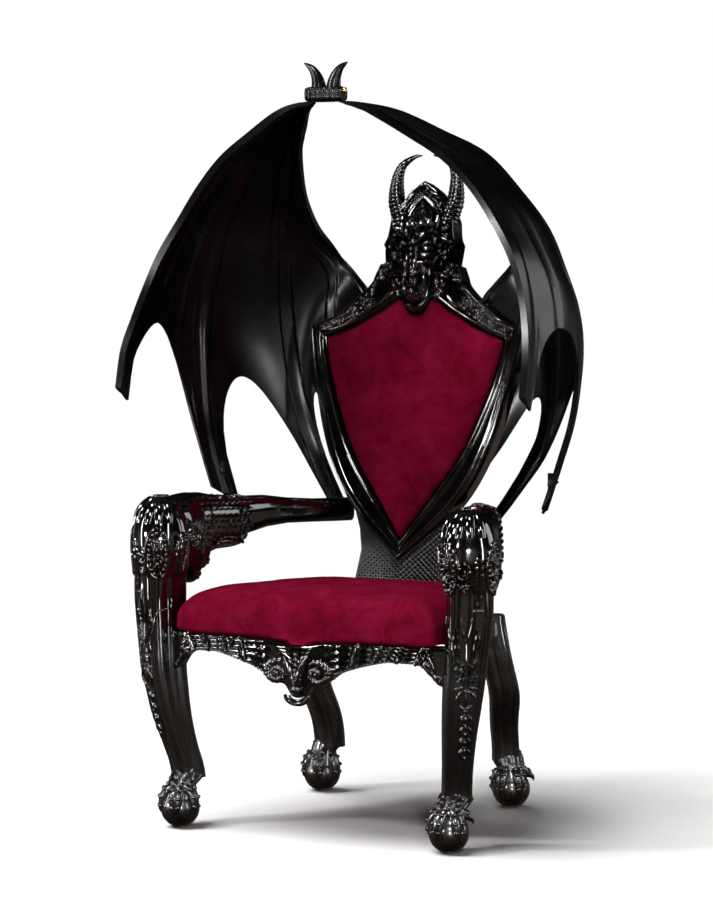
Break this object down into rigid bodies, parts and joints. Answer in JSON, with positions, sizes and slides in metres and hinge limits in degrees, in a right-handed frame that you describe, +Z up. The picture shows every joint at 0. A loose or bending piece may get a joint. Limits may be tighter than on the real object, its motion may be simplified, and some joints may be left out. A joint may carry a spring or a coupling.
{
  "type": "carved dragon wing throne",
  "caption": "Carved high-back throne with padded seat and shield back, ball and claw feet, and dragon wings that arch over the sitter as a canopy.",
  "frame": {"origin": "on the floor, in the middle of the footprint of the whole throne", "axes": "+Z up, the sitter faces -Y, +X to the right as seen from the front; right and left in the node names are as seen from the front"},
  "size_m": [1.0776, 0.773, 1.8005],
  "materials": {
    "lacquer": "high-gloss black lacquer over carved hardwood",
    "velvet": "crushed crimson velvet",
    "brass": "polished"
  },
  "bodies": {
    "root": {"front_leg_right": "lacquer", "front_leg_left": "lacquer", "rear_leg_right": "lacquer", "rear_leg_left": "lacquer", "front_apron": "lacquer", "side_rail_right": "lacquer", "side_rail_left": "lacquer", "rear_rail": "lacquer", "arm_right": "lacquer", "arm_left": "lacquer", "back_splat": "lacquer", "back_frame": "lacquer", "back_pad": "velvet", "seat_cushion": "velvet", "wing_right": "lacquer", "wing_left": "lacquer", "wing_bolt": "brass"}
  },
  "joints": []
}
